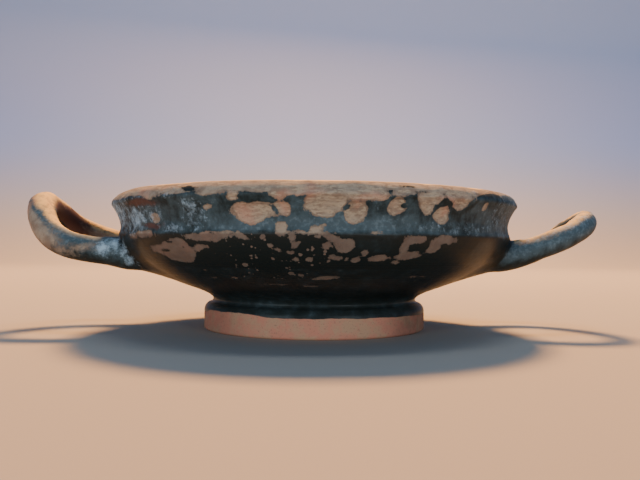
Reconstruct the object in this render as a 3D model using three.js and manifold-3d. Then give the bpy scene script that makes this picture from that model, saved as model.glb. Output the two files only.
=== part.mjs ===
// A stemless kylix: a shallow drinking cup of black-glazed fired clay, thrown on a wheel, with an
// offset concave lip, a ring foot and two horizontal handles that curl up to the height of the rim.
// The potter joined foot and handles to the bowl before firing, so the cup is one solid.
// Millimetres, +Z up. The origin is the centre of the foot's resting ring, on the surface it
// stands on, and the handles lie along X.
import * as THREE from "three";
import { mergeVertices } from "three/addons/utils/BufferGeometryUtils.js";
import Module from "manifold-3d";

// The whole cup
const cupHeight = 50; // resting surface to the crown of the rim
const lipDiameter = 150; // across the lip's outermost edge
const handleReach = 107.5; // from the axis to the outside of a handle's end

// Lip: a concave band that flares from the shoulder to a thick rounded edge
const crownDiameter = 138.6; // circle along the top of the rim
const lipEdgeDrop = 4.6; // crown down to the lip's outermost edge
const lipFullness = 0.65; // of the rounding from there to the crown: 0 is a straight bevel
const lipWaistDiameter = 142.6; // narrowest part of the band, just above the shoulder
const lipWall = 3.5; // thickness at the waist
const lipInnerRound = 1.5; // width of the rounding from the crown to the inside

// Bowl: a shallow curve that steepens to the shoulder, where the lip is set in
const shoulderHeight = 34.6;
const shoulderDiameter = 143.8;
const shoulderSlope = THREE.MathUtils.degToRad(76);
const shoulderReach = 9; // how far the wall keeps near that slope
const bowlWall = 4.6;
const bowlStartDiameter = 92; // where the curve of the bowl leaves the fillet over the foot
const bowlStartHeight = 15.6;
const bowlStartSlope = THREE.MathUtils.degToRad(19);
const bowlStartReach = 14;
const insideLedge = 0.7; // the inside of the bowl stands in from the lip by about this

// Foot: a low ring with a rounded upper edge and a shallow recess underneath
const footDiameter = 83.4;
const footFaceHeight = 7.2; // the upright face, bare clay on the real cup
const footTopRound = 3;
const footBaseRound = 0.9;
const neckDiameter = 76.4; // where the foot meets the bowl
const neckHeight = 11;
const restingWidth = 6.6; // flat ring that the cup stands on
const recessDepth = 6.6; // at the wall of the foot
const recessDraft = 2.2; // how much the recess narrows up to there
const recessFillet = 2.4;
const centreFloor = 6; // thickness of the clay at the axis
const undersideRise = 1.2; // the underside is this much higher at the axis

// Handles: round loops, thicker where they join the wall. Past the root an arm climbs slowly, then
// curls up: the higher "curl", the later. "lean" is how much higher one arm runs than the other.
const handleThickness = 8.4;
const handleSpan = 42; // between the middles of a handle's two arms
const handleBow = 1.5; // the arms bow out by this much each
const handleRootHeight = 27.6;
const rootHeightwise = 10.4; // the root's size up and down
const rootCrosswise = 11; // and across
const rootTaper = 15; // length over which the root thins to the arm
const buriedRise = 1; // inside the wall the roots run on level, and this much higher at their ends
const handles = [
  { side: -1, tipHeight: 45.6, slant: 11.7, curl: 6.4, lean: 3.4, bendThickness: 10.4 },
  { side: 1, tipHeight: 40.6, slant: -3.5, curl: 2.3, lean: -6.5, bendThickness: 8.4 },
];

// Spalls: shallow shells broken from the lip. Each has its place round the cup in degrees from
// the right-hand handle, how far it lies below the crown, and its width, height and depth.
const spalls = [
  { around: -99, below: 6.6, wide: 15, high: 9.4, deep: 0.8 },
  { around: -89, below: 4.6, wide: 16, high: 6.8, deep: 0.9 },
  { around: -78.5, below: 4.2, wide: 15, high: 6.4, deep: 0.9 },
  { around: -84, below: 8.4, wide: 8.5, high: 7, deep: 0.6 },
  { around: -112, below: 8, wide: 14, high: 6.4, deep: 0.7 },
  { around: -59, below: 5.8, wide: 12, high: 6.6, deep: 0.7 },
];
const spallBluntness = 4; // the scoop that leaves a spall is this many times as thick as it is deep

// How finely the round forms are cut into facets
const turnSteps = 72;
const handleSteps = 28;
const handleSides = 14;
const sliver = 0.002; // edges shorter than this, left where two forms are cut, are closed up

const footRadius = footDiameter / 2;
const neckRadius = neckDiameter / 2;
const lipEdgeRadius = lipDiameter / 2;
const lipEdgeHeight = cupHeight - lipEdgeDrop;
const crownRadius = crownDiameter / 2;
const shoulderRadius = shoulderDiameter / 2;
const waistRadius = lipWaistDiameter / 2;
const recessRadius = footRadius - footBaseRound - restingWidth;

const point = (radius, height) => new THREE.Vector2(radius, height);

// Points of a quarter circle about a centre, from one angle up to another.
function arc(centre, radius, from, to, steps) {
  return new THREE.EllipseCurve(centre.x, centre.y, radius, radius, from, to).getPoints(steps);
}

// The outside of the bowl, from the fillet over the foot up to the shoulder.
const bowlStart = point(bowlStartDiameter / 2, bowlStartHeight);
const shoulder = point(shoulderRadius, shoulderHeight);
const along = (slope, reach) => point(Math.cos(slope) * reach, Math.sin(slope) * reach);
const bowlCurve = new THREE.CubicBezierCurve(
  bowlStart,
  bowlStart.clone().add(along(bowlStartSlope, bowlStartReach)),
  shoulder.clone().sub(along(shoulderSlope, shoulderReach)),
  shoulder,
);

// The fillet from the neck of the foot into the bowl, and the top of the foot.
const neck = point(neckRadius, neckHeight);
const filletCorner = point(
  neckRadius,
  bowlStartHeight - Math.tan(bowlStartSlope) * (bowlStart.x - neckRadius),
);
const neckFillet = new THREE.QuadraticBezierCurve(neck, filletCorner, bowlStart);

function footOutside() {
  const roundCentre = point(footRadius - footTopRound, footFaceHeight);
  const baseCentre = point(footRadius - footBaseRound, footBaseRound);
  return [
    ...arc(baseCentre, footBaseRound, -Math.PI / 2, 0, 2),
    ...arc(roundCentre, footTopRound, 0, Math.PI / 2, 4),
  ];
}

// The outside of the lip: set in above the shoulder, concave, then rounded over to the crown.
function lipOutside() {
  const height = lipEdgeHeight - shoulderHeight;
  const setIn = point(waistRadius + (shoulderRadius - waistRadius) / 3, shoulderHeight + 0.05 * height);
  const band = new THREE.CubicBezierCurve(
    setIn,
    point(waistRadius - 0.5 * (shoulderRadius - waistRadius), shoulderHeight + 0.35 * height),
    point(waistRadius + 0.3 * (lipEdgeRadius - waistRadius), shoulderHeight + 0.7 * height),
    point(lipEdgeRadius, lipEdgeHeight),
  );
  const lipEdge = band.getPoint(1);
  const crown = point(crownRadius, cupHeight);
  const corner = point(lipEdge.x, crown.y);
  const chordMiddle = lipEdge.clone().lerp(crown, 0.5);
  const rounding = new THREE.QuadraticBezierCurve(lipEdge, chordMiddle.lerp(corner, lipFullness), crown);
  return [...band.getPoints(5), ...rounding.getPoints(4).slice(1)];
}

// The inside, from the crown down the lip, over the ledge and down the wall to the axis. The
// wall of the bowl is the outside moved in by its thickness.
const outsideNormal = (share) => {
  const tangent = bowlCurve.getTangent(share);
  return point(-tangent.y, tangent.x);
};
const insideWallAt = (share) =>
  bowlCurve.getPoint(share).addScaledVector(outsideNormal(share), bowlWall);

function cupInside() {
  const roundCentre = point(crownRadius, cupHeight - lipInnerRound);
  const round = arc(roundCentre, lipInnerRound, Math.PI / 2, Math.PI, 2);
  const wallTop = insideWallAt(1);
  const ledge = point(waistRadius - lipWall, wallTop.y + insideLedge);
  const lip = new THREE.QuadraticBezierCurve(
    round.at(-1),
    point(waistRadius - lipWall, cupHeight - 2 * lipEdgeDrop),
    ledge,
  );
  const wallShares = [1, 0.85, 0.7, 0.55, 0.4, 0.25];
  const wall = wallShares.map(insideWallAt);
  const wallEnd = wall.at(-1);
  const floor = point(0, recessDepth + undersideRise + centreFloor);
  const slope = bowlCurve.getTangent(wallShares.at(-1));
  const drop = wallEnd.y - floor.y;
  const floorCurve = new THREE.QuadraticBezierCurve(
    wallEnd,
    point(wallEnd.x - (drop * slope.x) / slope.y, floor.y),
    floor,
  );
  return [...round.slice(1), ...lip.getPoints(3).slice(1), ...wall, ...floorCurve.getPoints(5).slice(1)];
}

// The recess under the foot, from the resting ring to the axis.
function recessProfile() {
  const wallTop = point(recessRadius - recessDraft, recessDepth - recessFillet);
  return [
    point(recessRadius, 0),
    wallTop,
    ...new THREE.QuadraticBezierCurve(
      wallTop,
      point(wallTop.x - 0.3 * recessFillet, recessDepth),
      point(wallTop.x - recessFillet, recessDepth),
    ).getPoints(3).slice(1),
    point(0, recessDepth + undersideRise),
  ];
}

const wasm = await Module();
wasm.setup();

// A closed geometry as a solid that can be joined and cut.
function solidOf(geometry) {
  const bare = geometry.clone();
  bare.deleteAttribute("normal");
  bare.deleteAttribute("uv");
  const merged = mergeVertices(bare, 1e-4);
  return new wasm.Manifold(
    new wasm.Mesh({
      numProp: 3,
      vertProperties: new Float32Array(merged.attributes.position.array),
      triVerts: new Uint32Array(merged.index.array),
    }),
  );
}

// A closed profile turned about the Z axis.
function turned(profile) {
  const lathe = new THREE.LatheGeometry(profile, turnSteps);
  return solidOf(lathe.rotateX(Math.PI / 2));
}

// The radius of the bowl's outside at a height below the shoulder.
function wallRadiusAt(height) {
  let low = 0;
  let high = 1;
  for (let halving = 0; halving < 30; halving += 1) {
    const middle = (low + high) / 2;
    if (bowlCurve.getPoint(middle).y < height) low = middle;
    else high = middle;
  }
  return bowlCurve.getPoint(low).x;
}

// The middle line of a handle. It runs on into the bowl at both ends, where it is cut off.
function handleLine({ side, tipHeight, slant, curl, lean, bendThickness }) {
  const halfSpan = handleSpan / 2;
  const outAt = (height) => Math.sqrt(wallRadiusAt(height) ** 2 - halfSpan ** 2);
  const rootOut = outAt(handleRootHeight);
  const insideOut = outAt(handleRootHeight - rootHeightwise / 2) - bowlWall;
  const tipOut = handleReach - bendThickness / 2;
  const endRadius = halfSpan + handleBow;
  const endCentre = tipOut - endRadius;
  const rise = tipHeight - handleRootHeight;
  const steady = Math.tan(THREE.MathUtils.degToRad(slant)) * (tipOut - rootOut);
  const heightAt = (out, across) => {
    const share = (out - rootOut) / (tipOut - rootOut);
    const climb = steady * share + (rise - steady) * Math.max(share, 0) ** curl;
    return handleRootHeight + climb + lean * (across / handleSpan) * Math.min(1, 2 * share);
  };
  const arm = (across) => {
    const inside = new THREE.Vector3(insideOut, across, handleRootHeight + buriedRise);
    const root = new THREE.Vector3(rootOut, across, handleRootHeight);
    const bowed = Math.sign(across) * (halfSpan + 0.6 * handleBow);
    const middleOut = (rootOut + endCentre) / 2;
    return [inside, root, new THREE.Vector3(middleOut, bowed, heightAt(middleOut, across))];
  };
  const end = [];
  const endSteps = 8;
  for (let step = 0; step <= endSteps; step += 1) {
    const angle = -Math.PI / 2 + (Math.PI * step) / endSteps;
    const out = endCentre + endRadius * Math.cos(angle);
    const across = endRadius * Math.sin(angle);
    end.push(new THREE.Vector3(out, across, heightAt(out, across)));
  }
  const points = [...arm(-halfSpan), ...end, ...arm(halfSpan).reverse()];
  for (const place of points) place.x *= side;
  const line = new THREE.CatmullRomCurve3(points, false, "centripetal");
  return { line, buriedLength: rootOut - insideOut };
}

// A round bar along that line, thicker near its two roots.
function handleSolid(handle) {
  const { line, buriedLength } = handleLine(handle);
  const length = line.getLength();
  const up = new THREE.Vector3(0, 0, 1);
  const positions = [];
  const faces = [];
  for (let step = 0; step <= handleSteps; step += 1) {
    const share = step / handleSteps;
    const middle = line.getPointAt(share);
    const across = line.getTangentAt(share).cross(up).normalize();
    const over = across.clone().cross(line.getTangentAt(share));
    const fromEnd = Math.min(share, 1 - share) * length - buriedLength;
    const thin = THREE.MathUtils.smoothstep(fromEnd, 0, rootTaper);
    const bend = Math.sin(Math.PI * share) ** 4;
    const thickness = THREE.MathUtils.lerp(handleThickness, handle.bendThickness, bend);
    const halfAcross = THREE.MathUtils.lerp(rootCrosswise, thickness, thin) / 2;
    const halfOver = THREE.MathUtils.lerp(rootHeightwise, thickness, thin) / 2;
    for (let side = 0; side < handleSides; side += 1) {
      const angle = (2 * Math.PI * side) / handleSides;
      const place = middle.clone()
        .addScaledVector(across, halfAcross * Math.cos(angle))
        .addScaledVector(over, halfOver * Math.sin(angle));
      positions.push(place.x, place.y, place.z);
      const next = (side + 1) % handleSides;
      if (step === handleSteps) continue;
      const here = step * handleSides;
      const there = here + handleSides;
      faces.push(here + side, there + next, here + next, here + side, there + side, there + next);
    }
  }
  const lastRing = handleSteps * handleSides;
  for (let side = 1; side < handleSides - 1; side += 1) {
    faces.push(0, side, side + 1);
    faces.push(lastRing, lastRing + side + 1, lastRing + side);
  }
  const bar = new THREE.BufferGeometry();
  bar.setAttribute("position", new THREE.Float32BufferAttribute(positions, 3));
  bar.setIndex(faces);
  return solidOf(bar);
}

// The outline of the outside, foot to crown, for the scoops that leave the spalls.
const outside = [
  ...footOutside(),
  ...neckFillet.getPoints(3),
  ...bowlCurve.getPoints(8).slice(1),
  ...lipOutside(),
];

// The lip's surface at a height, and the way that it faces.
function surfaceAt(height) {
  const lip = outside.filter((place) => place.y >= shoulderHeight);
  const above = Math.max(1, lip.findIndex((place) => place.y >= height));
  const [low, high] = [lip[above - 1], lip[above]];
  const share = (height - low.y) / (high.y - low.y);
  const normal = point(high.y - low.y, low.x - high.x).normalize();
  return { place: low.clone().lerp(high, share), normal };
}

// A blunt ball that bites into the lip by a spall's depth.
function scoop({ around, below, wide, high, deep }) {
  const { place, normal } = surfaceAt(cupHeight - below);
  const thick = spallBluntness * deep;
  const shown = Math.sqrt(1 - ((thick - deep) / thick) ** 2);
  const ball = new THREE.SphereGeometry(1, 12, 8);
  ball.scale(thick, wide / 2 / shown, high / 2 / shown);
  ball.rotateY(-Math.atan2(normal.y, normal.x));
  const out = place.clone().addScaledVector(normal, thick - deep);
  ball.translate(out.x, 0, out.y);
  ball.rotateZ(THREE.MathUtils.degToRad(around));
  return solidOf(ball);
}

// The middle of the bowl's wall, closed off above: a handle ends there, inside the clay.
function bowlMiddle() {
  const shares = [0, 0.2, 0.4, 0.6, 0.8, 1];
  const wall = shares.map(
    (share) => bowlCurve.getPoint(share).addScaledVector(outsideNormal(share), bowlWall / 2),
  );
  const above = cupHeight + handleReach;
  return turned([point(0, wall[0].y), ...wall, point(wall.at(-1).x, above), point(0, above)]);
}

function cup() {
  let body = turned([...recessProfile().reverse(), ...outside, ...cupInside()]);
  const middle = bowlMiddle();
  for (const handle of handles) body = body.add(handleSolid(handle).subtract(middle));
  for (const spall of spalls) body = body.subtract(scoop(spall));
  return body.simplify(sliver);
}

function geometryOf(solid) {
  const mesh = solid.getMesh();
  const geometry = new THREE.BufferGeometry();
  geometry.setAttribute("position", new THREE.BufferAttribute(mesh.vertProperties, 3));
  geometry.setIndex(new THREE.BufferAttribute(mesh.triVerts, 1));
  geometry.computeVertexNormals();
  return geometry;
}

const blackGlazedClay = new THREE.MeshStandardMaterial({
  color: 0x2b2b29, roughness: 0.38, metalness: 0,
});

const kylix = new THREE.Mesh(geometryOf(cup()), blackGlazedClay);
kylix.name = "kylix_cup";

const group = new THREE.Group();
group.add(kylix);

export default group;
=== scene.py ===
"""The looks of a worn black-glazed drinking cup: one fired piece, its glaze flaked to bare clay."""

import itertools
import math

import bpy
import numpy as np
from mathutils import Matrix, Vector, kdtree


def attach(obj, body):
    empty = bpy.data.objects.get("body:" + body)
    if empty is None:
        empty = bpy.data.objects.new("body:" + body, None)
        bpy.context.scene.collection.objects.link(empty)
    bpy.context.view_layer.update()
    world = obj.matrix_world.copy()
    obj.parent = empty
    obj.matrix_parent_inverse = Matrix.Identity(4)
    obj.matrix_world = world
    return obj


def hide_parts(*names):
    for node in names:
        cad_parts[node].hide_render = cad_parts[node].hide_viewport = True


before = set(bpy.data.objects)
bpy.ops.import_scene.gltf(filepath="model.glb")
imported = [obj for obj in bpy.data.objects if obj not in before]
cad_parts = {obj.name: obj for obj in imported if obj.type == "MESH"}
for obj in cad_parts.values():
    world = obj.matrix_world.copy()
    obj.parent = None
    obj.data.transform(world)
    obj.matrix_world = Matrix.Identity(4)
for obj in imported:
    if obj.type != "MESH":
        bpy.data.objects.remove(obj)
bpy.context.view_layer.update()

# The bowl, its lip and its foot: orange-firing clay turned on a wheel, in one outline from under
# the foot, up the outside, over the rim and down the inside. The potter cut the hollow band of the
# lip and the ring of the foot while the clay was firm. Sizes here are in millimetres.
cup_height = 50
lip_diameter = 150
crown_diameter = 138.6
lip_edge_drop = 4.6
lip_fullness = 0.65
lip_waist_diameter = 142.6
lip_wall = 3.5
lip_inner_round = 1.5
shoulder_height = 34.6
shoulder_diameter = 143.8
shoulder_slope = math.radians(76)
shoulder_reach = 9
bowl_wall = 4.6
bowl_start_diameter = 92
bowl_start_height = 15.6
bowl_start_slope = math.radians(19)
bowl_start_reach = 14
inside_ledge = 0.7
foot_diameter = 83.4
foot_face_height = 7.2
foot_top_round = 3
foot_base_round = 0.9
neck_diameter = 76.4
neck_height = 11
resting_width = 6.6
recess_depth = 6.6
recess_draft = 2.2
recess_fillet = 2.4
centre_floor = 6
underside_rise = 1.2
turn_steps = 456


def bezier(controls, steps):
    """Points of a Bezier curve, both ends included."""
    share = np.linspace(0, 1, steps + 1)[:, None]
    order = len(controls) - 1
    weighted = [
        math.comb(order, i) * share**i * (1 - share) ** (order - i) * np.array(control, float)
        for i, control in enumerate(controls)
    ]
    return sum(weighted)


def arc(centre, radius, start, end, steps):
    """Points of a circle from one angle to another, in degrees."""
    angle = np.radians(np.linspace(start, end, steps + 1))
    return np.array(centre) + radius * np.column_stack([np.cos(angle), np.sin(angle)])


def along(slope, reach):
    return np.array([math.cos(slope), math.sin(slope)]) * reach


foot_radius = foot_diameter / 2
neck_radius = neck_diameter / 2
lip_edge = np.array([lip_diameter / 2, cup_height - lip_edge_drop])
crown = np.array([crown_diameter / 2, cup_height])
shoulder = np.array([shoulder_diameter / 2, shoulder_height])
waist_radius = lip_waist_diameter / 2
recess_radius = foot_radius - foot_base_round - resting_width

recess_top = np.array([recess_radius - recess_draft, recess_depth - recess_fillet])
underside = bezier([(0, recess_depth + underside_rise), (recess_top[0] - recess_fillet, recess_depth)], 9)
recess_corner = bezier(
    [
        (recess_top[0] - recess_fillet, recess_depth),
        (recess_top[0] - 0.3 * recess_fillet, recess_depth),
        recess_top,
    ],
    4,
)
resting_ring = bezier([(recess_radius, 0), (foot_radius - foot_base_round, 0)], 4)
foot_base = arc((foot_radius - foot_base_round, foot_base_round), foot_base_round, -90, 0, 3)
foot_face = bezier([(foot_radius, foot_base_round), (foot_radius, foot_face_height)], 8)
foot_top = arc((foot_radius - foot_top_round, foot_face_height), foot_top_round, 0, 90, 7)
bowl_start = np.array([bowl_start_diameter / 2, bowl_start_height])
fillet_corner_height = bowl_start_height - math.tan(bowl_start_slope) * (bowl_start[0] - neck_radius)
neck = bezier([(neck_radius, neck_height), (neck_radius, fillet_corner_height), bowl_start], 7)
bowl = bezier(
    [
        bowl_start,
        bowl_start + along(bowl_start_slope, bowl_start_reach),
        shoulder - along(shoulder_slope, shoulder_reach),
        shoulder,
    ],
    44,
)
lip_rise = lip_edge[1] - shoulder_height
set_in = shoulder[0] - waist_radius
lip_band = bezier(
    [
        (waist_radius + set_in / 3, shoulder_height + 0.05 * lip_rise),
        (waist_radius - 0.5 * set_in, shoulder_height + 0.35 * lip_rise),
        (waist_radius + 0.3 * (lip_edge[0] - waist_radius), shoulder_height + 0.7 * lip_rise),
        lip_edge,
    ],
    26,
)
corner_of_lip = np.array([lip_edge[0], crown[1]])
rim_control = (lip_edge + crown) / 2 * (1 - lip_fullness) + corner_of_lip * lip_fullness
rim_outside = bezier([lip_edge, rim_control, crown], 13)
rim_inside = arc((crown[0], cup_height - lip_inner_round), lip_inner_round, 90, 180, 6)
bowl_run = np.gradient(bowl, axis=0)
bowl_run /= np.linalg.norm(bowl_run, axis=1)[:, None]
into_bowl = np.column_stack([-bowl_run[:, 1], bowl_run[:, 0]])
wall_end = len(bowl) // 4
inside_wall = (bowl + bowl_wall * into_bowl)[wall_end:][::-1][::2]
ledge = (waist_radius - lip_wall, inside_wall[0][1] + inside_ledge)
lip_inside = bezier([rim_inside[-1], (waist_radius - lip_wall, cup_height - 2 * lip_edge_drop), ledge], 10)
floor_height = recess_depth + underside_rise + centre_floor
floor_slope = bowl_run[wall_end]
floor_reach = (inside_wall[-1][1] - floor_height) * floor_slope[0] / floor_slope[1]
inside_floor = bezier(
    [inside_wall[-1], (inside_wall[-1][0] - floor_reach, floor_height), (0, floor_height)], 15
)

stretches = [
    underside, recess_corner, resting_ring, foot_base, foot_face, foot_top, neck, bowl,
    lip_band, rim_outside, rim_inside, lip_inside, inside_wall, inside_floor,
]
outline = np.vstack(stretches)
steps_apart = np.linalg.norm(np.diff(outline, axis=0), axis=1)
outline = outline[np.concatenate([[True], steps_apart > 1e-4])]
resting = outline[:, 1] < 1e-6
eased = outline.copy()
eased[1:-1] = (outline[:-2] + 2 * outline[1:-1] + outline[2:]) / 4
outline = np.where(resting[:, None], outline, eased)


def turned(profile, segments):
    """The closed mesh that a profile makes about Z. The profile starts and ends on the axis."""
    angle = np.linspace(0, 2 * np.pi, segments, endpoint=False)
    rings = profile[1:-1]
    x = rings[:, :1] * np.cos(angle)
    y = rings[:, :1] * np.sin(angle)
    z = np.repeat(rings[:, 1:], segments, axis=1)
    places = np.stack([x, y, z], axis=2).reshape(-1, 3)
    poles = [(0, 0, profile[0][1]), (0, 0, profile[-1][1])]
    here = np.arange(segments)
    after = np.roll(here, -1)
    faces = []
    for ring in range(len(rings) - 1):
        low, high = ring * segments, (ring + 1) * segments
        faces += np.column_stack([low + here, low + after, high + after, high + here]).tolist()
    first_pole, last_pole = len(places), len(places) + 1
    last_ring = (len(rings) - 1) * segments
    faces += [[first_pole, b, a] for a, b in zip(here.tolist(), after.tolist())]
    faces += [[last_pole, last_ring + a, last_ring + b] for a, b in zip(here.tolist(), after.tolist())]
    mesh = bpy.data.meshes.new("turned")
    mesh.from_pydata(places.tolist() + poles, [], faces)
    return mesh


# The handles: two rolled bars of the same clay, bent to loops by hand and pressed on under the
# shoulder with wet slip. They don't match: the left one curls higher and is thicker at its bend,
# the right one lies lower, with one arm below the other.
handle_reach = 107.5
handle_thickness = 8.4
handle_span = 42
handle_bow = 1.5
handle_root_height = 27.6
root_heightwise = 10.4
root_crosswise = 11
root_taper = 15
buried_rise = 1
left_handle = {
    "side": -1, "tip_height": 45.6, "slant": 11.7, "curl": 6.4, "lean": 3.4, "bend_thickness": 10.4,
}
right_handle = {
    "side": 1, "tip_height": 40.6, "slant": -3.5, "curl": 2.3, "lean": -6.5, "bend_thickness": 8.4,
}
handle_steps = 120
handle_sides = 30


def smoothstep(low, high, value):
    share = np.clip((value - low) / (high - low), 0, 1)
    return share * share * (3 - 2 * share)


def through(points, steps):
    """A smooth line through points: a centripetal Catmull-Rom spline."""
    ends = np.vstack([2 * points[0] - points[1], points, 2 * points[-1] - points[-2]])
    share = np.linspace(0, 1, steps, endpoint=False)[:, None]
    line = []
    for before, start, end, beyond in zip(ends, ends[1:], ends[2:], ends[3:]):
        gaps = [np.linalg.norm(b - a) ** 0.5 for a, b in ((before, start), (start, end), (end, beyond))]
        out = (start - before) / gaps[0] - (end - before) / (gaps[0] + gaps[1]) + (end - start) / gaps[1]
        into = (end - start) / gaps[1] - (beyond - start) / (gaps[1] + gaps[2]) + (beyond - end) / gaps[2]
        line.append(
            (2 * share**3 - 3 * share**2 + 1) * start
            + (share**3 - 2 * share**2 + share) * out * gaps[1]
            + (3 * share**2 - 2 * share**3) * end
            + (share**3 - share**2) * into * gaps[1]
        )
    return np.vstack(line + [points[-1:]])


def wall_radius_at(height):
    return np.interp(height, bowl[:, 1], bowl[:, 0])


def handle_line(handle):
    """The middle of a handle's bar, evenly spaced, the bar's two half sizes there, and its frame."""
    half_span = handle_span / 2
    root_out = math.sqrt(wall_radius_at(handle_root_height) ** 2 - half_span**2)
    low_radius = wall_radius_at(handle_root_height - root_heightwise / 2)
    inside_out = math.sqrt(low_radius**2 - half_span**2) - bowl_wall
    tip_out = handle_reach - handle["bend_thickness"] / 2
    end_radius = half_span + handle_bow
    end_centre = tip_out - end_radius
    steady = math.tan(math.radians(handle["slant"])) * (tip_out - root_out)
    rise = handle["tip_height"] - handle_root_height

    def height_at(out, across):
        share = (out - root_out) / (tip_out - root_out)
        climb = steady * share + (rise - steady) * max(share, 0) ** handle["curl"]
        return handle_root_height + climb + handle["lean"] * across / handle_span * min(1, 2 * share)

    def arm(across):
        bowed = math.copysign(half_span + 0.6 * handle_bow, across)
        middle_out = (root_out + end_centre) / 2
        return [
            (inside_out, across, handle_root_height + buried_rise),
            (root_out, across, handle_root_height),
            (middle_out, bowed, height_at(middle_out, across)),
        ]

    end = []
    for angle in np.radians(np.linspace(-90, 90, 9)):
        out, across = end_centre + end_radius * math.cos(angle), end_radius * math.sin(angle)
        end.append((out, across, height_at(out, across)))
    chosen = np.array(arm(-half_span) + end + arm(half_span)[::-1])
    chosen[:, 0] *= handle["side"]
    dense = through(chosen, 40)
    run = np.concatenate([[0], np.cumsum(np.linalg.norm(np.diff(dense, axis=0), axis=1))])
    even = np.linspace(0, run[-1], handle_steps + 1)
    middle = np.column_stack([np.interp(even, run, dense[:, axis]) for axis in range(3)])
    tangent = np.gradient(middle, axis=0)
    tangent /= np.linalg.norm(tangent, axis=1)[:, None]
    across = np.cross(tangent, (0, 0, 1))
    across /= np.linalg.norm(across, axis=1)[:, None]
    over = np.cross(across, tangent)
    share = even / run[-1]
    from_end = np.minimum(share, 1 - share) * run[-1] - (root_out - inside_out)
    thin = smoothstep(0, root_taper, from_end)
    bend = np.sin(np.pi * share) ** 4
    thickness = handle_thickness + (handle["bend_thickness"] - handle_thickness) * bend
    half_across = (root_crosswise + (thickness - root_crosswise) * thin) / 2
    half_over = (root_heightwise + (thickness - root_heightwise) * thin) / 2
    return middle, across * half_across[:, None], over * half_over[:, None]


def bar(line):
    """The closed mesh of a round bar along a handle's line."""
    middle, across, over = line
    angle = np.linspace(0, 2 * np.pi, handle_sides, endpoint=False)[None, :, None]
    places = middle[:, None] + across[:, None] * np.cos(angle) + over[:, None] * np.sin(angle)
    here = np.arange(handle_sides)
    after = np.roll(here, -1)
    faces = [here.tolist(), (handle_steps * handle_sides + here)[::-1].tolist()]
    for step in range(handle_steps):
        low, high = step * handle_sides, (step + 1) * handle_sides
        faces += np.column_stack([low + here, high + here, high + after, low + after]).tolist()
    mesh = bpy.data.meshes.new("bar")
    mesh.from_pydata(places.reshape(-1, 3).tolist(), [], faces)
    return mesh


def combined(first, second, operation):
    """The mesh of one closed mesh joined with another, or cut by it."""
    kept, tool = bpy.data.objects.new("kept", first), bpy.data.objects.new("tool", second)
    for made in (kept, tool):
        bpy.context.scene.collection.objects.link(made)
    change = kept.modifiers.new("combined", "BOOLEAN")
    change.operation, change.object, change.solver = operation, tool, "MANIFOLD"
    evaluated = kept.evaluated_get(bpy.context.evaluated_depsgraph_get())
    mesh = bpy.data.meshes.new_from_object(evaluated)
    for made in (kept, tool):
        bpy.data.objects.remove(made)
    return mesh


middle_of_wall = (bowl + bowl_wall / 2 * into_bowl)[::4]
above_handles = 2 * cup_height
bowl_middle = np.vstack(
    [(0, middle_of_wall[0][1]), middle_of_wall, (middle_of_wall[-1][0], above_handles), (0, above_handles)]
)
handle_lines = [handle_line(left_handle), handle_line(right_handle)]
cup_mesh = turned(outline, turn_steps)
for line in handle_lines:
    trimmed = combined(bar(line), turned(bowl_middle, 90), "DIFFERENCE")
    cup_mesh = combined(cup_mesh, trimmed, "UNION")


# The joints of the handles. The potter smeared slip round each root with a finger, so the bar runs
# into the wall in a soft hollow and not in a sharp corner.
fillet_size = 7
smoothing_rounds = 14
sample_gap = 0.15  # between the points of the outline that places are compared with


def nearest(samples, places):
    """The index of the nearest sample to each place."""
    tree = kdtree.KDTree(len(samples))
    for index, sample in enumerate(samples):
        tree.insert(sample, index)
    tree.balance()
    return np.array([tree.find(place)[1] for place in places])


def coordinates(mesh):
    flat = np.empty(len(mesh.vertices) * 3)
    mesh.vertices.foreach_get("co", flat)
    return flat.reshape(-1, 3)


def move_to(mesh, places):
    mesh.vertices.foreach_set("co", places.ravel())
    mesh.update()


def facing(mesh):
    """The way that each vertex of a mesh faces."""
    flat = np.empty(len(mesh.vertices) * 3)
    mesh.vertex_normals.foreach_get("vector", flat)
    return flat.reshape(-1, 3)


run_of_outline = np.concatenate([[0], np.cumsum(np.linalg.norm(np.diff(outline, axis=0), axis=1))])
sample_run = np.arange(0, run_of_outline[-1], sample_gap)
samples = np.column_stack([np.interp(sample_run, run_of_outline, outline[:, i]) for i in range(2)])
sample_slope = np.gradient(samples, axis=0)
sample_slope /= np.linalg.norm(sample_slope, axis=1)[:, None]
sample_out = np.column_stack([sample_slope[:, 1], -sample_slope[:, 0]])
flat_samples = np.column_stack([samples, np.zeros(len(samples))])

places = coordinates(cup_mesh)
radius = np.hypot(places[:, 0], places[:, 1])
beside = np.column_stack([radius, places[:, 2], np.zeros(len(places))])
closest = nearest(flat_samples, beside)
run = sample_run[closest]
off_wall = ((beside[:, :2] - samples[closest]) * sample_out[closest]).sum(axis=1)

bar_middles = np.vstack([line[0] for line in handle_lines])
bar_sizes = np.concatenate([np.linalg.norm(line[2], axis=1) for line in handle_lines])
closest_bar = nearest(bar_middles, places)
off_bar = np.linalg.norm(places - bar_middles[closest_bar], axis=1) - bar_sizes[closest_bar]
run_of_crown = run_of_outline[np.argmax(outline[:, 1])]
outer = run < run_of_crown
from_joint = np.where(outer, np.maximum(np.maximum(off_wall, off_bar), 0), fillet_size)
raised = fillet_size / 4 * np.clip(1 - from_joint / fillet_size, 0, 1) ** 2
places += facing(cup_mesh) * raised[:, None]

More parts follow.
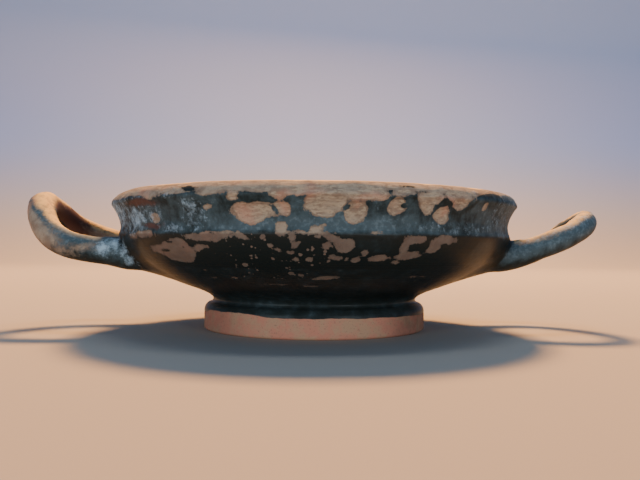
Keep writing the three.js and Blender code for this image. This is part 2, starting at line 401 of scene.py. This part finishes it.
edges = np.empty(len(cup_mesh.edges) * 2, int)
cup_mesh.edges.foreach_get("vertices", edges)
starts, ends = edges.reshape(-1, 2).T
neighbours = np.bincount(np.concatenate([starts, ends]), minlength=len(places))
near_joint = (1 - smoothstep(0.3 * fillet_size, 0.7 * fillet_size, from_joint))[:, None] * 0.6
for _ in range(smoothing_rounds):
    total = np.column_stack([
        np.bincount(starts, places[ends, axis], len(places))
        + np.bincount(ends, places[starts, axis], len(places))
        for axis in range(3)
    ])
    places += (total / neighbours[:, None] - places) * near_joint
move_to(cup_mesh, places)
on_handle = smoothstep(0.6, 3, off_wall) * outer

# The camera stands low and close in front of the cup, turned a little towards the left handle. It
# comes before the wear, because most of the wear is given by where the photo shows it.
camera_turn = math.radians(-2)
camera_distance, camera_aside, camera_height = 0.2775, 0.002, 0.03024
camera_pitch, camera_roll = math.radians(0.634), math.radians(0.5)
focal_length, sensor_width = 40.65, 36
photo_width, photo_height = 640, 480

turn = Matrix.Rotation(camera_turn, 4, "Z")
stand = Matrix.Translation((camera_aside, -camera_distance, camera_height))
raise_view = Matrix.Rotation(math.pi / 2 + camera_pitch, 4, "X")
camera_stance = turn @ stand @ raise_view @ Matrix.Rotation(camera_roll, 4, "Z")

camera = bpy.data.cameras.new("camera")
camera.lens, camera.sensor_width, camera.clip_start = focal_length, sensor_width, 0.01
view = bpy.data.objects.new("camera", camera)
view.matrix_world = camera_stance
bpy.context.scene.collection.objects.link(view)
bpy.context.scene.camera = view

# The wear. Shells have spalled from the lip where salts pushed them off, the glaze has flaked from
# the clay in patches, and lime from the ground clings to the left of the cup. A patch is its place in
# degrees round from the right-hand handle and in height, its width, its height and its tilt.
outside = (run_of_outline <= run_of_crown) & (outline[:, 0] > recess_radius)
outer_outline, outer_run = outline[outside], run_of_outline[outside]
ray_step = 0.1


def run_at(up):
    return np.interp(up, outer_outline[:, 1], outer_run)


def radius_at(up):
    return np.interp(up, outer_outline[:, 1], outer_outline[:, 0])


def seen_at(x, y):
    """Where on the cup's side a pixel of the photo is: degrees round, and height."""
    pixel = sensor_width / focal_length / photo_width
    from_centre = ((x - photo_width / 2) * pixel, (photo_height / 2 - y) * pixel, -1)
    way = camera_stance.to_3x3() @ Vector(from_centre)
    reach = np.arange(camera_distance * 500, camera_distance * 1000, ray_step)[:, None]
    ray = np.array(camera_stance.translation) * 1000 + reach * np.array(way)
    gap = np.hypot(ray[:, 0], ray[:, 1]) - radius_at(ray[:, 2])
    x, y, up = ray[np.argmax(gap < 0) if gap.min() < 0 else np.argmin(gap)]
    return math.degrees(math.atan2(y, x)), up


def seen(rectangles):
    """The patches that the photo shows, from their left, top, right, bottom and tilt in it."""
    patches = []
    for left, top, right, bottom, tilt in rectangles:
        x, y = (left + right) / 2, (top + bottom) / 2
        degrees, up = seen_at(x, y)
        wide = math.radians(seen_at(right, y)[0] - seen_at(left, y)[0]) * radius_at(up)
        high = run_at(seen_at(x, top)[1]) - run_at(seen_at(x, bottom)[1])
        patches.append((degrees, up, wide, high, tilt))
    return patches


spalled = seen([
    (227.5, 201, 278.5, 224, 0), (273, 198.7, 291, 214.8, -30), (303, 190, 348, 217.5, 0),
    (346, 201, 369, 226, 6), (343, 184, 391, 202, 0), (388, 196, 410, 215, 0),
    (422, 191.5, 443, 207, 0), (421, 200, 433, 215.5, 15), (434, 207, 450.5, 224.5, 0),
    (442.5, 191.5, 475.5, 204, -4), (454, 198, 469, 212.5, 0), (224.5, 192, 236.5, 203, 0),
    (266, 186.5, 286, 196.5, 0), (391.5, 188, 419, 196, 0),
]) + [(-94, 46.8, 12, 4, 0), (-84, 46.6, 18, 6.6, 0)]
flaked_lip = seen([
    (482, 203, 487.5, 211.5, 0), (151, 211, 159, 222.5, 0), (275, 223, 289, 235.5, 0),
    (306.5, 225, 323.5, 233, 0), (322.5, 223.5, 326.5, 227, 0), (290.5, 231, 325.5, 234, 0),
    (205, 203, 212, 211.5, 0), (368, 231.5, 383, 235, 0), (194, 188.5, 226.5, 194, 0),
]) + [(-137, 46.6, 17, 3, 0)]
flaked_bowl = seen([
    (129, 231.5, 152, 238, 0), (184, 232.5, 200, 238, 0), (194.5, 232.5, 218.5, 242, 0),
    (214, 231, 238, 237, 0), (235.5, 232.5, 247.5, 238.5, -10), (162, 241.5, 195, 261.5, 6),
    (151, 244.5, 167.5, 252.5, 0), (168, 237.5, 186, 247, 0), (192, 244, 207.5, 250.5, 8),
    (320, 234, 342, 241, -25), (332.5, 239.5, 357.5, 251.5, -12), (268, 243.5, 273.5, 247.5, 0),
    (275.5, 248.5, 282.5, 252, -30), (291.5, 240.5, 299.5, 246.5, 0), (287.5, 250, 294, 255, 0),
    (320.5, 243, 330, 249.5, 0), (311.5, 252.5, 316.5, 256.5, 0), (291.5, 256, 301, 261, -40),
    (307, 256, 315, 262, 0), (327.5, 254.5, 341, 260.5, 0), (343.5, 257.5, 349, 262, 0),
    (351, 258.5, 360.5, 263, 0), (361, 251, 369, 256.5, 0), (369, 255.5, 389.5, 262, 0),
    (402, 234.5, 426.5, 243, 0), (401, 237, 410.5, 254.5, 0), (398, 251, 420.5, 259, 6),
    (432, 235, 456, 245, 0), (428.5, 239.5, 443.5, 253.5, 30), (312, 276.5, 335.5, 280, 4),
    (289, 233.5, 296, 240, 0), (313.5, 234, 320, 239, 0), (203, 268.5, 207, 270.5, 0),
    (213.5, 277, 218.5, 278.5, 0), (231, 277, 237, 278.5, 0), (411.5, 275.7, 424, 277.2, 0),
    (300.5, 285.5, 326, 286.5, 0),
]) + [(-70.4, 26.2, 2.6, 1.4, 0), (-104, 18.9, 6, 0.7, 0)]
kept_glaze = seen([
    (160.5, 248, 171.5, 251.5, 0), (342.5, 206, 352.5, 211.5, 20), (411, 245, 422.5, 249, 0),
    (402, 203.5, 407, 208, 0), (179.5, 185.7, 198.5, 191, 0), (400, 185.3, 417, 187.5, 0),
    (232.5, 193.5, 267.5, 202, 0), (287, 193, 301, 204.5, 0), (425.5, 234.5, 431, 255.5, 0),
    (378.5, 203, 388.5, 220.5, 10),
]) + [(-130.5, 31.8, 4, 1.2, 0), (-126, 30.2, 1.6, 1.2, 0), (-101, 41.3, 6.4, 1.7, -60)]
reddened = seen([(125, 199, 156.5, 206, 0), (144, 223, 162, 229.5, 0)])
limed = seen([
    (113, 199, 128.5, 228, 0), (127, 204.5, 147, 229, 0), (158.5, 192, 177.5, 196.5, 0),
    (181, 198, 199, 211, 0), (160, 222, 184, 232.5, 0), (435, 186.7, 448.5, 190, 0),
    (470.5, 191, 481.5, 194, 0), (496.2, 231.5, 498.8, 237, 0),
]) + [
    (-127, 47.8, 3.4, 1, 0), (-157.5, 29, 3, 14, 0), (-77, 41.7, 3.6, 0.7, -62),
    (-74, 39.3, 5.4, 0.6, -28), (-166, 43, 16, 12, 0),
]
veiled = [(-150, 40.5, 46, 13, 0), (-24, 48.4, 36, 4.6, 0)]
dusted = [(-121, 40.5, 10, 11, 0), (-52, 36.6, 36, 3, 0), (-26, 43, 36, 19, 0)]
# Thin glaze on the flanks beside the handles; its greyer colour there is also a painted reflection of the
# lit floor.
thin_glaze_and_sheen = [(-147, 26.4, 8, 15, -25), (-40, 29, 14, 12, 0), (-33, 26, 18, 8, 0)]
dulled_bowl = seen([(353, 238, 402, 255.5, 0)]) + [(-134, 32.8, 8, 2.6, 0)]
root_lime = (
    ((-73.6, -26.6, 29.6), 3.4), ((-69.6, -25.4, 31), 3.4), ((-66.2, -25.8, 29), 3),
    ((-64.4, -26, 25.6), 2.8),
)
spall_depth = 0.7
far_outside = 6.0
flake_depth = 0.13
lattice = np.random.default_rng(11).uniform(-1, 1, (64, 64, 64))


def noise(points, size):
    """Smooth noise from -1 to 1, with bumps of about that size."""
    cell = points / size
    low = np.floor(cell).astype(int)
    part = cell - low
    eased_part = part * part * (3 - 2 * part)
    total = 0
    for step in itertools.product((0, 1), repeat=3):
        i, j, k = ((low + step) % 64).T
        total += lattice[i, j, k] * np.prod(np.where(step, eased_part, 1 - eased_part), axis=1)
    return total


def rough(points, size):
    """Noise with finer noise on it."""
    finer = 0.5 * noise(points + 31, size / 2) + 0.25 * noise(points + 57, size / 4)
    return (noise(points, size) + finer) / 1.4


places = coordinates(cup_mesh)
around = np.degrees(np.arctan2(places[:, 1], places[:, 0]))
ragged_across = 1.3 * noise(places, 5) + 0.4 * noise(places + 31, 2.4)
ragged_along = 1.1 * noise(places + 91, 4.4) + 0.4 * noise(places + 57, 2.2)


def inside_patches(patches, blend=0.13):
    """About how many millimetres each vertex lies inside some patches, which run into each other."""
    total = np.full(len(places), 1e-9)
    for degrees, up, wide, high, tilt in patches:
        turn = (around - degrees + 180) % 360 - 180
        across = np.radians(turn) * radius_at(up)
        climb = run - run_at(up)
        lean = math.radians(tilt)
        wobble = min(1, high / 4)
        level = across * math.cos(lean) + climb * math.sin(lean) + ragged_across * wobble
        upright = climb * math.cos(lean) - across * math.sin(lean) + ragged_along * wobble
        reach = np.hypot(level * 2 / wide, upright * 2 / high)
        total += np.exp(np.clip((1 - reach) * min(wide, high) / 2 / blend, -18, 18))
    return np.where(outer, np.maximum(np.log(total) * blend, -far_outside), -far_outside)


run_of_edge = run_at(lip_edge[1])
past_edge = run - run_of_edge
rim_worn = np.minimum(past_edge - 1.5, (run_of_crown + 3 - run) * 1.2) + 1.7 * rough(places, 13)
kept_depth = np.where(run < run_of_crown - 3.4, 1.9, -1.2)
rim_worn -= kept_depth * smoothstep(-52, -42, around) * smoothstep(15, -5, around)
rim_worn += 0.8 * smoothstep(-136, -126, around) * smoothstep(-90, -100, around) * (run < run_of_crown)
rim_worn = np.minimum(rim_worn, 0.9)
inside_worn = 3.4 * rough(places + 17, 13) - 2.3 - 0.03 * (run - run_of_crown)


def bar_directions(index, turned_by_side):
    """The unit vectors of the handles' bars, nearest to each vertex."""
    lengths = [
        line[index] * (handle["side"] if turned_by_side else 1)
        for line, handle in zip(handle_lines, (left_handle, right_handle))
    ]
    vectors = np.vstack(lengths)[closest_bar]
    return vectors / np.linalg.norm(vectors, axis=1)[:, None]


# Places on a bar: the share of its length from the near root, and the way it faces there in
# degrees, where 0 is out of the loop, 90 up and 180 into the loop.
share_of_bar = np.tile(np.linspace(0, 1, handle_steps + 1), 2)[closest_bar]
cup_facing = facing(cup_mesh)
upward = (cup_facing * bar_directions(2, False)).sum(axis=1)
outward = (cup_facing * bar_directions(1, True)).sum(axis=1)
roll = np.degrees(np.arctan2(upward, outward))
worn_bars = [
    (-1, 0.25, 120, 0.56, 78), (-1, 0.5, 104, 0.2, 130), (-1, 0.76, 98, 0.5, 64),
    (-1, 0.38, 0, 0.22, 100), (-1, 0.21, 8, 0.05, 22), (-1, 0.255, -22, 0.05, 20),
    (-1, 0.3, -34, 0.1, 24), (-1, 0.82, 176, 0.3, 100), (1, 0.26, 88, 0.38, 96),
    (1, 0.5, 100, 0.14, 74), (1, 0.75, 98, 0.44, 70),
]


def inside_bar_patches(patches):
    """About how many millimetres each vertex lies inside some patches on the handles."""
    deepest = np.full(len(places), -far_outside)
    wavering = share_of_bar + 0.012 * noise(places + 5, 5)
    rolling = roll + 16 * noise(places + 29, 6)
    for side, share, way, length, breadth in patches:
        lengthwise = (wavering - share) / length * 2
        crosswise = ((rolling - way + 180) % 360 - 180) / breadth * 2
        inside = (1 - np.hypot(lengthwise, crosswise)) * breadth * 0.037
        deepest = np.maximum(deepest, np.where(places[:, 0] * side > 0, inside, -far_outside))
    return deepest


handle_worn = inside_bar_patches(worn_bars)
back_worn = 3 * rough(places + 43, 11) - 1.75 - 2 * smoothstep(-5, -25, places[:, 1])
spall = inside_patches(spalled)
body_bare = np.maximum.reduce([spall, inside_patches(flaked_lip), inside_patches(flaked_bowl), rim_worn])
above_foot = outer & (places[:, 2] > neck_height)
body_bare = np.maximum(body_bare, np.where(above_foot, back_worn, -far_outside))
body_bare = np.where(outer, body_bare, np.maximum(inside_worn, rim_worn))
body_bare = np.minimum(body_bare, -inside_patches(kept_glaze) * 1.5 + 0.2)
bare = body_bare * (1 - on_handle) + handle_worn * on_handle
red = inside_patches(reddened) - far_outside * on_handle
lime = np.minimum(inside_patches(limed), 1.7)
lime = np.maximum(lime, np.minimum(inside_patches(veiled), 0.6))
lime = np.maximum(lime, np.minimum(inside_patches(dusted), 0.3))
lime = np.minimum(lime, -1.5 * red) - far_outside * on_handle
for place, reach in root_lime:
    lime = np.maximum(lime, reach - np.linalg.norm(places - np.array(place), axis=1))
speckled = on_handle * (places[:, 0] > 0) * smoothstep(-40, 60, roll) * smoothstep(170, 120, roll)
lime = np.maximum(lime, 6.8 * speckled - far_outside)
thin = smoothstep(-1.5, 2.5, inside_patches(thin_glaze_and_sheen))
thin_bar = inside_bar_patches([(-1, 0.66, 175, 0.42, 100)])
thin = np.maximum(thin, on_handle * smoothstep(-1, 1.5, thin_bar))
# Painted warm light: the glaze inside the left handle's bend is turned reddish, as where the lamp lights
# the loop's far arm.
loop_inside_warm_light = inside_bar_patches([(-1, 0.6, 176, 0.3, 110)])
red = np.maximum(red, np.where(on_handle > 0.5, loop_inside_warm_light, -far_outside))
front = np.cos(np.radians(around + 90))
foot_band = 6.5 + 0.6 * front + 1.1 * smoothstep(-108, -132, around) * smoothstep(0.2, 0.5, front)
reserved = np.where(run < run_of_crown, foot_band - places[:, 2], -far_outside)
from_axis = np.hypot(places[:, 0], places[:, 1])
painted = np.minimum(np.abs(from_axis - 14.5) - 2.2, np.abs(from_axis - 5.4) - 0.8)
reserved = np.where(outer & (from_axis < recess_radius - 1.5) & (places[:, 2] < 12), painted, reserved)
reserved += 0.25 * rough(places, 7)

run_of_shoulder = run_at(shoulder_height)
dulled = smoothstep(-0.6, 0.5, run - run_of_shoulder) * np.where(outer, 1, 0.35)
dulled_low = 0.42 - 0.1 * smoothstep(10, 20, places[:, 2])
dulled = np.maximum(dulled, dulled_low * (places[:, 2] < 24) * outer)
dulled = np.maximum(dulled, 0.36 * thin)
dulled = np.maximum(dulled, 0.3 * smoothstep(-5, 0, run - run_of_shoulder) * outer)
dulled = np.maximum(dulled, 0.33 * smoothstep(-2, 2, inside_patches(dulled_bowl)))
dulled = dulled * (1 - on_handle) + (0.5 + 0.35 * smoothstep(-70, 0, roll)) * on_handle
# More bloom on the lower band of the lip in front: a painted reflection of cool light from above, added to
# the glaze's own bloom.
low_on_lip = smoothstep(0, 1, run - run_of_shoulder) * smoothstep(7, 3, run - run_of_shoulder)
in_front = smoothstep(-130, -110, around) * smoothstep(-58, -78, around)
bloom_and_sheen = 0.45 + 0.35 * rough(places + 13, 12) + 0.4 * low_on_lip * in_front
bloom_and_sheen += 0.25 * smoothstep(-45, -25, around) * smoothstep(0, -12, around)
bloom_and_sheen -= 0.6 * smoothstep(0.5, 2, past_edge) * outer * smoothstep(-38, -52, around)
bar_bloom = 0.2 + smoothstep(-60, 40, roll) * smoothstep(190, 120, roll) + 0.25 * noise(places, 6)
bloom_and_sheen = bloom_and_sheen * (1 - on_handle) + on_handle * bar_bloom
pits = smoothstep(-122, -112, around) * smoothstep(-76, -90, around) * smoothstep(18, 22, places[:, 2])
pits = pits * (places[:, 2] < shoulder_height) * outer * 0.8 + 0.2

# Painted highlight (pale): lighter orange clay along the crown of the rim and on top of the handles,
# where the warm lamp catches them. Painted shade: darker clay on the foot, away from its front.
pale = smoothstep(-1.3, -0.5, run - run_of_crown) * smoothstep(4, 1.5, run - run_of_crown)
pale = pale * (1 - on_handle) + on_handle * 0.8 * smoothstep(45, 85, roll) * smoothstep(170, 130, roll)
foot_side_shade = smoothstep(0.93, 0.6, front) * smoothstep(12, 8, places[:, 2]) * outer * 0.62
foot_side_shade *= np.where(places[:, 0] < 0, 0.6, 1) * (from_axis > recess_radius + 4)

hand_turned = smoothstep(1, 8, places[:, 2])
uneven = hand_turned * (0.16 * noise(places, 34) + 0.05 * noise(places, 9))
uneven += on_handle * (0.28 * noise(places, 12) + 0.08 * noise(places, 4))
nibbled = 0.22 * smoothstep(0.1, 0.7, rough(places + 77, 9)) * smoothstep(-1, 1, past_edge) * outer
relief = uneven - nibbled
relief -= flake_depth * smoothstep(-0.15, 0.5, bare) + 0.05 * smoothstep(-0.1, 0.3, reserved)
relief -= spall_depth * smoothstep(-0.2, 1.3, spall) * (0.7 + 0.3 * rough(places, 5)) * (1 - on_handle)
relief += 0.22 * smoothstep(-0.5, 1.5, lime) * (1 + noise(places, 1.6))
relief *= np.where(places[:, 2] < 0.05, 0, 1)
places = places + facing(cup_mesh) * relief[:, None]
places[:, 2] = np.maximum(places[:, 2], 0)
move_to(cup_mesh, places * 0.001)

for name, values in {
    "bare": bare, "spall": np.maximum(spall, rim_worn - 0.4), "lime": lime, "red": red,
    "thin": thin, "reserved": reserved, "pale": pale, "foot_side_shade": foot_side_shade, "rubbed": on_handle,
    "dulled": dulled, "bloom_and_sheen": bloom_and_sheen, "pits": pits, "turned": run,
}.items():
    field = cup_mesh.attributes.new(name, "FLOAT", "POINT")
    field.data.foreach_set("value", np.maximum(values, -far_outside).astype(np.float32))
cup_mesh.polygons.foreach_set("use_smooth", [True] * len(cup_mesh.polygons))


class Wire:
    """One value in a material's nodes. Sums on it add Math nodes."""

    def __init__(self, nodes, socket=None):
        self.nodes, self.socket = nodes, socket

    def node(self, kind, settings, inputs, output=0):
        made = self.nodes.new("ShaderNode" + kind)
        for name, value in settings.items():
            setattr(made, name, value)
        for name, value in inputs.items():
            if isinstance(value, Wire):
                self.nodes.id_data.links.new(value.socket, made.inputs[name])
            else:
                made.inputs[name].default_value = value
        return Wire(self.nodes, made.outputs[output])

    def math(self, operation, first, second):
        return self.node("Math", {"operation": operation}, {0: first, 1: second})

    def __add__(self, other):
        return self.math("ADD", self, other)

    def __sub__(self, other):
        return self.math("SUBTRACT", self, other)

    def __rsub__(self, other):
        return self.math("SUBTRACT", other, self)

    def __mul__(self, other):
        return self.math("MULTIPLY", self, other)

    __radd__ = __add__
    __rmul__ = __mul__

    def above(self, other):
        return self.math("MAXIMUM", self, other)

    def between(self, low, high):
        """0 up to the low value, 1 from the high one, and smooth between."""
        limits = {"Value": self, "From Min": low, "From Max": high}
        return self.node("MapRange", {"interpolation_type": "SMOOTHSTEP"}, limits)

    def mixed(self, low, high):
        """One colour where this value is 0, another where it is 1."""
        colours = {"Factor": self, 6: low, 7: high}
        return self.node("Mix", {"data_type": "RGBA"}, colours, 2)


def colour(red, green, blue):
    """A colour given as it looks on a screen, from 0 to 255."""
    linear = [((part / 255 + 0.055) / 1.055) ** 2.4 for part in (red, green, blue)]
    return (*linear, 1)


glazed_clay = bpy.data.materials.new("worn_black_glaze_on_clay")
glazed_clay.use_nodes = True
glazed_clay.node_tree.nodes.clear()
start = Wire(glazed_clay.node_tree.nodes)
spot = start.node("TexCoord", {}, {}, "Object")
spot = spot.node("VectorMath", {"operation": "SCALE"}, {0: spot, "Scale": 1000})


def measured(name):
    """One of the mesh's own measures, such as how far inside a patch a point lies."""
    return start.node("Attribute", {"attribute_name": name}, {}, "Fac")


def grain(size, detail=3, vector=spot, roughness=0.55):
    """Noise from 0 to 1 with bumps of about that size, in millimetres."""
    inputs = {"Vector": vector, "Scale": 1 / size, "Detail": detail, "Roughness": roughness}
    return start.node("TexNoise", {}, inputs, "Fac")


edge_noise = (grain(3, 6, roughness=0.68) - 0.5) * 2.4 + (grain(0.9, 3) - 0.5) * 0.8
depth_in = measured("bare") + edge_noise + 0.06
chipped = depth_in.between(-0.08, 0.12)
rubbed = (depth_in * 0.8 + (grain(1.1, 4) - 0.5) * 1.8).between(-0.7, 0.8)
lost = measured("rubbed") * (rubbed - chipped) + chipped
cells = {"Vector": spot, "Scale": 0.36, "Randomness": 1}
fine_cells = {"Vector": spot, "Scale": 0.8, "Randomness": 1}


def chance(cell_inputs):
    """How large the pit of a cell is: most cells have none."""
    picked = start.node("TexVoronoi", {}, cell_inputs, "Color")
    picked = start.node("SeparateColor", {}, {0: picked}, "Red")
    return picked * measured("pits") * (grain(9, 1) + 0.5) - 0.55


in_cell = start.node("TexVoronoi", {}, cells, "Distance")
in_fine_cell = start.node("TexVoronoi", {}, fine_cells, "Distance")
wavy = (grain(0.9, 2) - 0.5) * 0.25
pitted = (chance(cells) * 0.9 - in_cell - wavy).between(-0.04, 0.03)
pitted = pitted.above((chance(fine_cells) * 0.8 - in_fine_cell - wavy).between(-0.05, 0.04))
reserve = (measured("reserved") + (grain(3) - 0.5) * 0.5).between(-0.12, 0.12)
flaked = lost.above(pitted)
clay_shows = flaked.above(reserve)
spalled_off = measured("spall").between(-0.1, 0.6)
limed_over = (measured("lime") * 0.6 + (grain(1.8, 6, roughness=0.8) - 0.5) * 5.5).between(0, 2)
limed_over = limed_over * 0.85

mottle = grain(3.2, 5, roughness=0.65)
dull = (measured("dulled") + (mottle - 0.5) * 0.5).between(0.2, 0.85)
black = grain(11).mixed(colour(24, 29, 27), colour(32, 34, 31))
streaked = start.node("Mapping", {}, {"Vector": spot, "Scale": (1, 1, 0.5)}, "Vector")
smeared = grain(8, 6, streaked, 0.7)
bloom_and_sheen_share = (measured("bloom_and_sheen") + (mottle - 0.5) * 1.3 + (smeared - 0.5) * 1.6).between(0.05, 0.95)
blue_grey = bloom_and_sheen_share.mixed(colour(28, 35, 34), colour(62, 76, 80))
blue_grey = (grain(1.3, 4) * bloom_and_sheen_share).between(0.42, 0.68).mixed(blue_grey, colour(80, 95, 100))
glaze = dull.mixed(black, blue_grey)
# Greyer glaze: thin glaze, and on the flanks a painted reflection of the lit floor.
flank_sheen_and_thin_glaze = (measured("thin") * grain(3, 3)).between(0.1, 0.6)
glaze = flank_sheen_and_thin_glaze.mixed(glaze, colour(48, 49, 44))

# Reddish glaze: reddened glaze on the lip, and painted warm light inside the left handle's bend.
reddish = (measured("red") + edge_noise).between(-0.4, 0.7) * 0.7
glaze = reddish.mixed(glaze, colour(86, 54, 45))

layers = start.node("Mapping", {}, {"Vector": spot, "Scale": (0.42, 0.42, 1.3)}, "Vector")
lamellae = grain(1.1, 4, layers)
clay = grain(4).between(0.35, 0.65).mixed(colour(142, 127, 108), colour(120, 103, 87))
clay = (lamellae * spalled_off).between(0.42, 0.6).mixed(clay, colour(152, 136, 113))
cracked = ((1 - grain(1.3, 5, layers, 0.7)) * spalled_off).between(0.55, 0.63) * 0.55
clay = cracked.mixed(clay, colour(96, 84, 74))
pink = grain(7, 5, roughness=0.65).between(0.42, 0.62).mixed(colour(176, 116, 93), colour(165, 127, 99))
clay = reserve.above(grain(12, 2).between(0.55, 0.68) * 0.35).mixed(clay, pink)
# Painted shade: clay that shows on the bowl below the lip, away from spalls and the foot band, is darkened
# where the bowl faces down.
patch_shade = (1 - dull.above(spalled_off).above(reserve)) * 0.75
clay = patch_shade.mixed(clay, colour(84, 70, 62))
# Painted shadow: darker clay just inside the edge of each flake, where the glaze's step would shade it.
clay = ((1 - depth_in.between(0.05, 0.5)) * lost * 0.55).mixed(clay, colour(80, 68, 58))
clay = (grain(0.6, 3).between(0.56, 0.72) * 0.5).mixed(clay, colour(104, 88, 76))
highlight_breakup = grain(2.4, 5, roughness=0.65).between(0.3, 0.56)
# Painted highlight: bright orange clay along the crown of the rim and on top of the handles.
clay = (measured("pale") * (highlight_breakup * 0.65 + 0.35)).mixed(clay, colour(233, 190, 114))
# Painted shade: darker clay on the foot's sides and back, away from its front.
clay = (measured("foot_side_shade") * (grain(2.5, 4) + 0.4)).mixed(clay, colour(78, 56, 48))
surface_colour = clay_shows.mixed(glaze, clay)
surface_colour = limed_over.mixed(surface_colour, colour(158, 180, 192))

gloss = dull * 0.2 + grain(1.2, 3) * 0.16 + 0.27
rough_finish = clay_shows.above(limed_over) * (0.9 - gloss) + gloss

along_outline = {"W": measured("turned"), "Scale": 0.9, "Detail": 4}
wheel = start.node("TexNoise", {"noise_dimensions": "1D"}, along_outline, "Fac")
height = wheel * 0.05 - clay_shows * 0.09
height = height + (grain(0.5, 3) * 0.08 + lamellae * spalled_off * 0.16) * clay_shows
height = height + grain(2.2, 4) * 0.05 + limed_over * 0.12
bumped = start.node("Bump", {}, {"Height": height, "Distance": 0.001, "Strength": 1}, "Normal")
shader = start.node(
    "BsdfPrincipled", {},
    {
        "Base Color": surface_colour, "Roughness": rough_finish, "Normal": bumped,
        "IOR": 1.4, "Specular IOR Level": 0.14,
    },
)
output = glazed_clay.node_tree.nodes.new("ShaderNodeOutputMaterial")
glazed_clay.node_tree.links.new(shader.socket, output.inputs["Surface"])

cup = bpy.data.objects.new("worn_kylix", cup_mesh)
cup_mesh.materials.clear()
cup_mesh.materials.append(glazed_clay)
cup_mesh.polygons.foreach_set("material_index", [0] * len(cup_mesh.polygons))
bpy.context.scene.collection.objects.link(cup)
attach(cup, "root")
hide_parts("kylix_cup")

# The stage: a pale paper sweep that the cup stands on, lit by a warm lamp above and behind the cup
# and by cool light from the room in front of it.
sweep_front, sweep_back, sweep_wide = -1.6, 0.9, 4.5
sweep_bend, sweep_top = 0.7, 2.4
bend_steps = 24

sweep_line = [(sweep_front, 0), (sweep_back, 0)]
for angle in np.radians(np.linspace(-90, 0, bend_steps + 1))[1:]:
    across = sweep_back + sweep_bend * math.cos(angle)
    sweep_line.append((across, sweep_bend + sweep_bend * math.sin(angle)))
sweep_line.append((sweep_line[-1][0], sweep_top))
sweep_places = [(side * sweep_wide / 2, y, z) for y, z in sweep_line for side in (-1, 1)]
sweep_faces = [(2 * i, 2 * i + 1, 2 * i + 3, 2 * i + 2) for i in range(len(sweep_line) - 1)]
sweep_mesh = bpy.data.meshes.new("paper_sweep")
sweep_mesh.from_pydata(sweep_places, [], sweep_faces)
sweep_mesh.polygons.foreach_set("use_smooth", [True] * len(sweep_faces))
paper = bpy.data.materials.new("pale_paper")
paper.use_nodes = True
paper_shader = paper.node_tree.nodes["Principled BSDF"]
paper_start = Wire(paper.node_tree.nodes)
paper_spot = paper_start.node("TexCoord", {}, {}, "Object")
paper_height = paper_start.node("SeparateXYZ", {}, {0: paper_spot}, "Z")
low_tint = paper_height.between(-0.02, 0.32).mixed(colour(160, 149, 133), colour(134, 154, 194))
# Lighter higher up the wall: painted light that makes up for the lamps' light falling off towards the top.
paper_tint = paper_height.between(0.2, 0.65).mixed(low_tint, colour(176, 176, 192))
paper.node_tree.links.new(paper_tint.socket, paper_shader.inputs["Base Color"])
paper_shader.inputs["Roughness"].default_value = 0.9
sweep_mesh.materials.append(paper)
sweep = bpy.data.objects.new("paper_sweep", sweep_mesh)
bpy.context.scene.collection.objects.link(sweep)


def lamp(name, place, aim, size, watts, tint):
    """A soft square lamp at a place, turned to what it lights."""
    light = bpy.data.lights.new(name, "AREA")
    light.size, light.energy, light.color = size, watts, tint
    made = bpy.data.objects.new(name, light)
    made.location = place
    made.rotation_euler = (Vector(aim) - Vector(place)).to_track_quat("-Z", "Y").to_euler()
    bpy.context.scene.collection.objects.link(made)


lamp("warm_lamp", (0.08, 0.86, 1.15), (0, 0, 0.03), 0.26, 78, (1.0, 0.5, 0.16))
lamp("left_window", (-0.85, -1.05, 0.11), (0, 0, 0.04), 0.3, 10.5, (0.84, 0.94, 1.0))
lamp("right_window", (0.7, -1.15, 0.11), (0, 0, 0.04), 0.3, 9, (0.84, 0.94, 1.0))
lamp("backdrop_light", (0.2, 0.1, 2.2), (0, 1.6, 1.5), 1.0, 34, (0.72, 0.85, 1.0))

room = bpy.data.worlds.new("room")
room.use_nodes = True
room.node_tree.nodes["Background"].inputs["Color"].default_value = colour(118, 174, 244)
room.node_tree.nodes["Background"].inputs["Strength"].default_value = 0.44
bpy.context.scene.world = room
